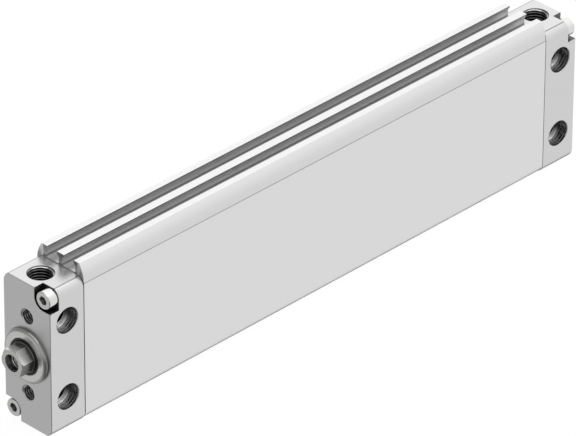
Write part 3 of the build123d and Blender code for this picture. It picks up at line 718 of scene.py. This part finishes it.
# %% Cap metal
caps = finish("blasted_anodised_aluminium", (0.775, 0.774, 0.773), metallic=1.0,
              roughness=0.33, grain_scale=5200.0, shade=0.03, rough_shade=0.05,
              bump=0.001 * MM, wear=0.6)
tree = caps["tree"]
fold = add(tree, "ShaderNodeGroup", node_tree=fold_group)
tree.links.new(caps["place"], fold.inputs["Vector"])
at = add(tree, "ShaderNodeSeparateXYZ", {0: caps["place"]}).outputs
width, level = size_of(tree, at["Y"]), size_of(tree, at["Z"])
hole_distance, end_depth = fold.outputs["Cross Hole Radius"], fold.outputs["End Depth"]
looks["cap_aluminium"] = caps
print("cap metal made")

# %% [markdown]
# ## Caps: milled sinks, with painted light and shade
# In the sinks of the cross holes the mill's rings still show. Noise along the
# tool's way in gives them, once as relief and once as darker bands in the
# colour, which paint in both the rings and the streaks of light that they
# reflect, and the wall is glossier than the blasted faces. A real sink is
# bright low down, where its wall faces up to the light, and dark high up,
# where it faces down. The mirrored room alone shows that only faintly in so
# small a hole, so two soft masks across the hole paint that light and shade
# into the colour.

# %% Cap sinks
SINK_EDGE = (5.18 * MM, 5.3 * MM)
MILL_FEED = 0.6 * MM
RING_RELIEF = 0.2 * MM
RING_EDGE = (0.45, 0.55)
LOW_WALL, HIGH_WALL = (-4.0 * MM, 0.0), (-2.0 * MM, 2.5 * MM)
LEAN = 0.6
SINK_GLOSS = 0.16
in_sink = fall(tree, hole_distance, *SINK_EDGE)
travel = maths(tree, "SUBTRACT", hole_distance, width)
feed = add(tree, "ShaderNodeTexNoise",
           {"W": maths(tree, "DIVIDE", travel, MILL_FEED), "Scale": 1.0, "Detail": 1.0},
           noise_dimensions="1D").outputs["Fac"]
extra_relief(caps, overlap(tree, feed, in_sink), RING_RELIEF)
in_sink = overlap(tree, in_sink, fall(tree, width, *SIDE_STEP))
from_middle = maths(tree, "SUBTRACT", at["X"], middle)
hole_x = maths(tree, "SUBTRACT", from_middle,
               maths(tree, "MULTIPLY", maths(tree, "SIGN", from_middle), cross_reach))
hole_z = maths(tree, "SUBTRACT", at["Z"],
               maths(tree, "MULTIPLY", maths(tree, "SIGN", at["Z"]), thread_height))
upward = maths(tree, "SUBTRACT", hole_z, maths(tree, "MULTIPLY", hole_x, LEAN))
# Painted light on the low wall of each sink, painted shade on the high wall.
scale_colour(caps, overlap(tree, in_sink, fall(tree, upward, *LOW_WALL)), factor=1.25)
scale_colour(caps, overlap(tree, in_sink, ramp(tree, upward, *HIGH_WALL)), factor=0.3)
scale_colour(caps, overlap(tree, in_sink, ramp(tree, feed, *RING_EDGE)), factor=0.75)
glossier = maths(tree, "SUBTRACT", caps["rough"], maths(tree, "MULTIPLY", in_sink, SINK_GLOSS))
tree.links.new(glossier, caps["shader"].inputs["Roughness"])
print("sinks finished, rings", round(MILL_FEED / MM, 1), "mm apart")

# %% [markdown]
# ## Caps: painted shade in pockets, holes and lines
# The narrow pockets round the cap screws are nearly black in a photograph,
# because hardly any light gets in or out, and so are the cross holes behind
# their sinks and the mouths of the ports; here that shade is painted into the
# colour. Thin dark lines of painted shade mark the crease where a cap's flat
# top or underside meets its rounded corner, and the joint between the cap
# and the barrel.

# %% Cap pockets
POCKET_FLOOR, POCKET_MOUTH = (4.2 * MM, 4.27 * MM), (0.03 * MM, 0.1 * MM)
POCKET_SIDE = (-4.17 * MM, -4.155 * MM)
FRONT_EXTRA = 0.2 * MM
front_extra = ramp(tree, at["X"], middle, middle + MM, 0.0, FRONT_EXTRA)
in_pocket = overlap(
    tree, fall(tree, maths(tree, "SUBTRACT", end_depth, front_extra), *POCKET_FLOOR),
    ramp(tree, end_depth, *POCKET_MOUTH), ramp(tree, fold.outputs["Pocket Y"], *POCKET_SIDE),
    ramp(tree, fold.outputs["Pocket Z"], *POCKET_SIDE))
scale_colour(caps, in_pocket, factor=0.2)
print("pockets darkened to", round(POCKET_FLOOR[1] / MM, 2), "mm")

# %% Cap holes and ports
HOLE_EDGE, HOLE_START = (3.32 * MM, 3.4 * MM), (6.4 * MM, 6.6 * MM)
PORT_EDGE = (port_radius + 0.3 * MM, port_radius + 0.35 * MM)
PORT_START = (body_top - 0.06 * MM, body_top - 0.02 * MM)
in_hole = overlap(tree, fall(tree, hole_distance, *HOLE_EDGE), fall(tree, width, *HOLE_START))
scale_colour(caps, in_hole, factor=0.12)
port_x = maths(tree, "SUBTRACT", end_depth, -port_place.x)
port_y = maths(tree, "SUBTRACT", at["Y"], port_place.y)
squares = [maths(tree, "MULTIPLY", v, v) for v in (port_x, port_y)]
port_reach = maths(tree, "SQRT", maths(tree, "ADD", *squares))
in_port = overlap(tree, fall(tree, port_reach, *PORT_EDGE), fall(tree, at["Z"], *PORT_START))
scale_colour(caps, in_port, factor=0.3)
print("ports darkened within", round(PORT_EDGE[1] / MM, 2), "mm of their axis")

# %% Cap lines
CREASE_REACH, CREASE_EDGE = 9.55 * MM, (0.12 * MM, 0.4 * MM)
FLAT_EDGE = (29.8 * MM, 29.85 * MM)
JOINT_DEPTH = (16.28 * MM, 16.34 * MM)
crease = fall(tree, off_from(tree, width, CREASE_REACH), *CREASE_EDGE)
scale_colour(caps, overlap(tree, crease, ramp(tree, level, *FLAT_EDGE)), factor=0.45)
scale_colour(caps, ramp(tree, end_depth, *JOINT_DEPTH), factor=0.5)
print("crease", round(CREASE_REACH / MM, 2), "mm from the middle")

# %% [markdown]
# ## Collar: turned bright
# The bearing collar is turned and left bright. Its face shows the rings of
# the lathe tool, finer than the eye can count but enough to spread the light.
# It is darkened at its foot and at its rim, where the real one mirrors the
# grey face of the cap in place of the white room.

# %% Collar finish
COLLAR_RINGS, COLLAR_RELIEF = 0.12 * MM, 0.012 * MM
COLLAR_FOOT, COLLAR_RIM = (0.4 * MM, 1.6 * MM), (9.45 * MM, 9.8 * MM)
collar = finish("turned_bright_collar", (0.9, 0.9, 0.89), metallic=1.0, roughness=0.24,
                grain_scale=3000.0, shade=0.03, rough_shade=0.04, edge=0.03 * MM)
tree = collar["tree"]
rings = add(tree, "ShaderNodeGroup", node_tree=rings_group)
rings.inputs["Pitch"].default_value = COLLAR_RINGS
tree.links.new(collar["place"], rings.inputs["Vector"])
extra_relief(collar, rings.outputs["Height"], COLLAR_RELIEF)
out = add(tree, "ShaderNodeSeparateXYZ", {0: collar["place"]}).outputs["X"]
scale_colour(collar, fall(tree, out, *COLLAR_FOOT), factor=0.5)
scale_colour(collar, ramp(tree, rings.outputs["Radius"], *COLLAR_RIM), factor=0.6)
looks["collar_metal"] = collar
print("collar finish made")

# %% [markdown]
# ## Rod: ground and milled
# The rod is ground round and polished, so its fine lines run round it. The
# hexagon at the nose is milled and a little duller, with rings on its end.
# The threaded mouth is painted nearly black, as shade, and the nose gets
# darker towards the collar, whose dark gap it mirrors: a painted reflection.

# %% Rod finish
ROD_RINGS, ROD_RELIEF = 0.14 * MM, 0.01 * MM
NOSE_START, NOSE_END = (2.2 * MM, 2.35 * MM), (7.5 * MM, 7.65 * MM)
NOSE_DULLER = 0.12
MOUTH_EDGE = (3.36 * MM, 3.42 * MM)
NOSE_SHADE_START, NOSE_SHADE_FADE = (1.7 * MM, 2.1 * MM), (2.3 * MM, 7.2 * MM)
rod = finish("ground_rod_steel", (0.74, 0.74, 0.73), metallic=1.0, roughness=0.13,
             grain_scale=9000.0, stretch=(1, 0.05, 0.05), shade=0.02, rough_shade=0.03,
             bump=0.0001 * MM, edge=0.05 * MM)
tree = rod["tree"]
along = add(tree, "ShaderNodeSeparateXYZ", {0: rod["place"]}).outputs["X"]
rings = add(tree, "ShaderNodeGroup", node_tree=rings_group)
rings.inputs["Pitch"].default_value = ROD_RINGS
tree.links.new(rod["place"], rings.inputs["Vector"])
on_end = ramp(tree, along, *NOSE_END)
extra_relief(rod, overlap(tree, rings.outputs["Height"], on_end), ROD_RELIEF)
duller = maths(tree, "MULTIPLY", ramp(tree, along, *NOSE_START), NOSE_DULLER)
tree.links.new(maths(tree, "ADD", rod["rough"], duller), rod["shader"].inputs["Roughness"])
scale_colour(rod, fall(tree, rings.outputs["Radius"], *MOUTH_EDGE), factor=0.14)
nose_shade = overlap(tree, ramp(tree, along, *NOSE_SHADE_START),
                     fall(tree, along, *NOSE_SHADE_FADE))
scale_colour(rod, nose_shade, factor=0.3)
looks["rod_steel"] = rod
print("rod finish made")

# %% [markdown]
# ## Screws and cut threads
# The screws have a bright zinc coat, and a cut thread is bare bright metal.
# Both are darkened by the painted shade that their points carry. Ambient
# occlusion could find the hollows as well, but it is slow and grainy in such
# small places, while a value from the thread's own formula is exact.

# %% Screw and thread finishes
for slot, name, tone, roughness, shadow in (
        ("screw_steel", "zinc_plated_steel", 0.86, 0.2, 0.4),
        ("cut_thread", "cut_thread", 0.98, 0.1, 0.01)):
    looks[slot] = finish(name, (tone, tone, tone - 0.01), metallic=1.0, roughness=roughness,
                         grain_scale=4200.0, shade=0.05, rough_shade=roughness / 3,
                         edge=0.03 * MM)
    # The attribute holds painted shade, which darkens the colour.
    painted_shade = add(looks[slot]["tree"], "ShaderNodeAttribute", attribute_name="painted_shade")
    scale_colour(looks[slot], painted_shade.outputs["Fac"], shadow)
print("finishes so far:", list(looks))

# %% [markdown]
# ## Piston and bearing metals
# The piston plates are plain machined aluminium. The bush is sintered bronze:
# pressed powder with open pores that hold oil, so its grain is strong and its
# pores are dark. A Voronoi texture places the pores, one at each cell's point.

# %% Piston and bush finishes
PORE_SCALE, PORE_EDGE = 3200.0, (0.12, 0.2)
looks["piston_aluminium"] = finish(
    "machined_piston_aluminium", (0.74, 0.75, 0.76), metallic=1.0, roughness=0.3,
    grain_scale=3400.0, stretch=(1, 0.1, 0.1), shade=0.05)
bush = finish("sintered_bronze", (0.52, 0.36, 0.19), metallic=1.0, roughness=0.42,
              grain_scale=5200.0, shade=0.18, rough_shade=0.1, bump=0.004 * MM)
pores = add(bush["tree"], "ShaderNodeTexVoronoi", {"Vector": bush["place"], "Scale": PORE_SCALE})
scale_colour(bush, fall(bush["tree"], pores.outputs["Distance"], *PORE_EDGE), factor=0.3)
looks["bush_bronze"] = bush
print("metal finishes:", len(looks))

# %% [markdown]
# ## Rubber, bearing plastic and magnet
# Seals and bumpers are dull elastomer with a soft mottled skin. The guide is
# a moulded bearing plastic with short fibres, and the magnet is powder in
# plastic, nearly black with fine bright grains. The skeleton of the metals
# serves them too, with little or no metallic share, since only the size and
# strength of the grain tell them apart.

# %% Dull finishes
looks["black_rubber"] = finish(
    "seal_rubber", (0.018, 0.018, 0.019), metallic=0.0, roughness=0.5, grain_scale=2400.0,
    shade=0.3, rough_shade=0.08, bump=0.003 * MM)
looks["bumper_rubber"] = finish(
    "bumper_rubber", (0.045, 0.045, 0.048), metallic=0.0, roughness=0.62,
    grain_scale=1800.0, shade=0.25, rough_shade=0.08, bump=0.004 * MM)
looks["guide_plastic"] = finish(
    "bearing_plastic", (0.12, 0.12, 0.13), metallic=0.0, roughness=0.45,
    grain_scale=3000.0, stretch=(0.2, 1, 1), shade=0.2, rough_shade=0.06)
looks["magnet"] = finish(
    "bonded_magnet", (0.05, 0.05, 0.052), metallic=0.3, roughness=0.5, grain_scale=6000.0,
    shade=0.5, rough_shade=0.12, bump=0.003 * MM)
print("finishes in all:", len(looks))

# %% [markdown]
# ## Every piece gets its finish
# The record of the part names a material slot for each node. The finishes
# carry the names of these slots, so the nodes only have to be matched. The
# new threads all get the finish of cut threads.

# %% Hand out the finishes
slot_of = {
    "barrel_profile": "barrel_aluminium", "front_cap": "cap_aluminium",
    "rear_cap": "cap_aluminium", "bearing_collar": "collar_metal", "rod_bush": "bush_bronze",
    "piston_rod": "rod_steel", "piston_front_plate": "piston_aluminium",
    "piston_rear_plate": "piston_aluminium", "piston_guide": "guide_plastic",
    "piston_magnet": "magnet", "front_bumper": "bumper_rubber", "rear_bumper": "bumper_rubber",
}
for node_name, node in nodes.items():
    slot = slot_of.get(node_name, "screw_steel" if "screw" in node_name else "black_rubber")
    node.data.materials.clear()
    node.data.materials.append(looks[slot]["material"])
for name, piece in threads.items():
    slot = "rod_steel" if name == "rod_nose_thread" else "cap_aluminium"
    piece.data.materials.append(looks["cut_thread"]["material"])
for piece in screws.values():
    piece.data.materials.append(looks["screw_steel"]["material"])
print("pieces with a finish:", len(nodes) + len(threads) + len(screws))

# %% [markdown]
# ## Floor and light
# The cylinder stands on its narrow underside on a pale floor, which spreads
# soft light upwards and is clear to mirrored rays. The camera sees it almost
# plain white, with a hint of shadow. Light Path tells the kinds of ray apart.

# %% Floor
FLOOR_HALF = 6.0
FLOOR_GAP = 0.1 * MM
PALE, FAINT = (0.85, 0.85, 0.85, 1), (0.08, 0.08, 0.08, 1)
FLOOR_GLOW = 0.95
corners = np.array([(-1, -1), (1, -1), (1, 1), (-1, 1)]) * FLOOR_HALF
floor_mesh = bpy.data.meshes.new("floor")
floor_mesh.from_pydata([(x, y, cad_low.z - FLOOR_GAP) for x, y in corners], [], [(0, 1, 2, 3)])
floor = bpy.data.objects.new("floor", floor_mesh)
bpy.context.scene.collection.objects.link(floor)
paint = bpy.data.materials.new("pale_floor")
paint.use_nodes = True
tree = paint.node_tree
tree.nodes.remove(tree.nodes["Principled BSDF"])
path = add(tree, "ShaderNodeLightPath").outputs
matte = add(tree, "ShaderNodeBsdfDiffuse", {"Color": PALE}).outputs[0]
faint = add(tree, "ShaderNodeBsdfDiffuse", {"Color": FAINT}).outputs[0]
white = add(tree, "ShaderNodeEmission", {"Strength": FLOOR_GLOW}).outputs[0]
clear = add(tree, "ShaderNodeBsdfTransparent").outputs[0]
seen = add(tree, "ShaderNodeAddShader", {0: faint, 1: white}).outputs[0]
base = add(tree, "ShaderNodeMixShader", {0: path["Is Diffuse Ray"], 1: clear, 2: matte}).outputs[0]
shown = add(tree, "ShaderNodeMixShader", {0: path["Is Camera Ray"], 1: base, 2: seen})
tree.links.new(shown.outputs[0], tree.nodes["Material Output"].inputs["Surface"])
floor_mesh.materials.append(paint)
print("floor at", round(cad_low.z / MM, 2), "mm")

# %% [markdown]
# ## A white room that is grey in front
# Satin metal shows what is round it, so the room matters more than the lamps.
# It is white overhead and behind, dark low down on the far side, and greyer
# in front, which sets the end faces off from the long side. A soft card in
# front puts a light on the round edges of collar and nose. A photograph of a
# studio could light the scene too, but ramps over the direction are easier to
# move to the place where a face mirrors them.

# %% World: the room by direction
ROOM_ABOVE, ROOM_BELOW, UNDERNEATH = 1.03, 0.8, 0.15
FRONT_ABOVE, FRONT_BELOW = 0.36, 0.5
NEAR_ABOVE, NEAR_BELOW = 0.6, 0.16
FRONT_TURN, RISE_LEAN, RISE = (-0.3, 0.05), 0.9, (-0.9, 0.6)
UNDER_Z, UNDER_Y = (-0.5, -0.65), (0.1, -0.1)
HORIZON, NEAR_LOW, NEAR_HIGH = (-0.3, 0.1), (-0.2, 0.3), (-0.1, 0.3)
world = bpy.data.worlds.new("white_room")
bpy.context.scene.world = world
world.use_nodes = True
tree = world.node_tree
way = add(tree, "ShaderNodeSeparateXYZ",
          {0: add(tree, "ShaderNodeTexCoord").outputs["Generated"]}).outputs
in_front = ramp(tree, way["X"], *FRONT_TURN)
rise = maths(tree, "SUBTRACT", way["Z"], maths(tree, "MULTIPLY", way["Y"], RISE_LEAN))
behind = ramp(tree, rise, *RISE, ROOM_BELOW, ROOM_ABOVE)
under = overlap(tree, ramp(tree, way["Z"], *UNDER_Z), ramp(tree, way["Y"], *UNDER_Y))
behind = maths(tree, "MULTIPLY", behind, ramp(tree, under, 0.0, 1.0, 1.0, UNDERNEATH))
before = add(tree, "ShaderNodeMix", {
    "Factor": ramp(tree, way["Z"], *HORIZON),
    "A": ramp(tree, way["Y"], *NEAR_LOW, FRONT_BELOW, NEAR_BELOW),
    "B": ramp(tree, way["Y"], *NEAR_HIGH, FRONT_ABOVE, NEAR_ABOVE)},
    data_type="FLOAT").outputs["Result"]
room = add(tree, "ShaderNodeMix", {"Factor": in_front, "A": behind, "B": before},
           data_type="FLOAT").outputs["Result"]
print("room from", ROOM_BELOW, "to", ROOM_ABOVE)

# %% World: a card in front, and plain white for the camera
FRONT_CARD = 0.6
CARD_X = (0.75, 0.88)
CARD_Y, CARD_Y_EDGE = -0.33, (0.12, 0.22)
CARD_Z, CARD_Z_EDGE = 0.0, (0.14, 0.26)
card = overlap(tree, ramp(tree, way["X"], *CARD_X, 0.0, FRONT_CARD),
               fall(tree, off_from(tree, way["Y"], CARD_Y), *CARD_Y_EDGE),
               fall(tree, off_from(tree, way["Z"], CARD_Z), *CARD_Z_EDGE))
glow = maths(tree, "ADD", room, card)
seen = add(tree, "ShaderNodeLightPath").outputs["Is Camera Ray"]
strength = add(tree, "ShaderNodeMix", {"Factor": seen, "A": glow, "B": 1.0},
               data_type="FLOAT").outputs["Result"]
background = tree.nodes["Background"]
background.inputs["Color"].default_value = (1, 1, 1, 1)
tree.links.new(strength, background.inputs["Strength"])
print("world ready")

# %% [markdown]
# ## One soft lamp overhead
# A wide lamp above the cylinder gives the tops of caps and rail their even
# light, and the floor its hint of shadow. A sun would light them as well, but
# its shadows are hard, and those of a studio are not.

# %% Soft lamp
LAMP_WIDTH, LAMP_POWER = 1.6, 7.0
LAMP_PLACE = Vector((middle, 0.1, 1.6))
lamp = bpy.data.lights.new("overhead", "AREA")
lamp.shape = "RECTANGLE"
lamp.size, lamp.size_y, lamp.energy = LAMP_WIDTH, LAMP_WIDTH, LAMP_POWER
holder = bpy.data.objects.new("overhead", lamp)
bpy.context.scene.collection.objects.link(holder)
holder.location = LAMP_PLACE
aim = Vector((middle, 0, 0)) - LAMP_PLACE
holder.rotation_euler = aim.to_track_quat("-Z", "Y").to_euler()

# %% [markdown]
# ## The camera
# The camera was fitted to measured points of the photograph: hole centres,
# edges and the ends of the seams. That gives its place, its three axes and a
# long lens, which is why the far end looks almost as large as the near one.

# %% Camera
SENSOR_WIDTH, FOCAL_LENGTH = 36.0, 439.635
NEAR_CLIP, FAR_CLIP = 0.1, 60.0
CAMERA_PLACE = (1.417126, 1.524316, 1.352667)
CAMERA_RIGHT = (-0.703554, 0.710629, 0.004148)
CAMERA_UP = (-0.37327, -0.374508, 0.848772)
CAMERA_BACK = (0.604716, 0.595609, 0.528743)
camera_data = bpy.data.cameras.new("photo_camera")
camera_data.sensor_width, camera_data.lens = SENSOR_WIDTH, FOCAL_LENGTH
camera_data.clip_start, camera_data.clip_end = NEAR_CLIP, FAR_CLIP
camera = bpy.data.objects.new("photo_camera", camera_data)
bpy.context.scene.collection.objects.link(camera)
turned_to = Matrix((CAMERA_RIGHT, CAMERA_UP, CAMERA_BACK)).transposed().to_4x4()
camera.matrix_world = Matrix.Translation(CAMERA_PLACE) @ turned_to
bpy.context.scene.camera = camera
bpy.context.scene.view_settings.view_transform = "Standard"
print("camera at", [round(v, 3) for v in camera.location])
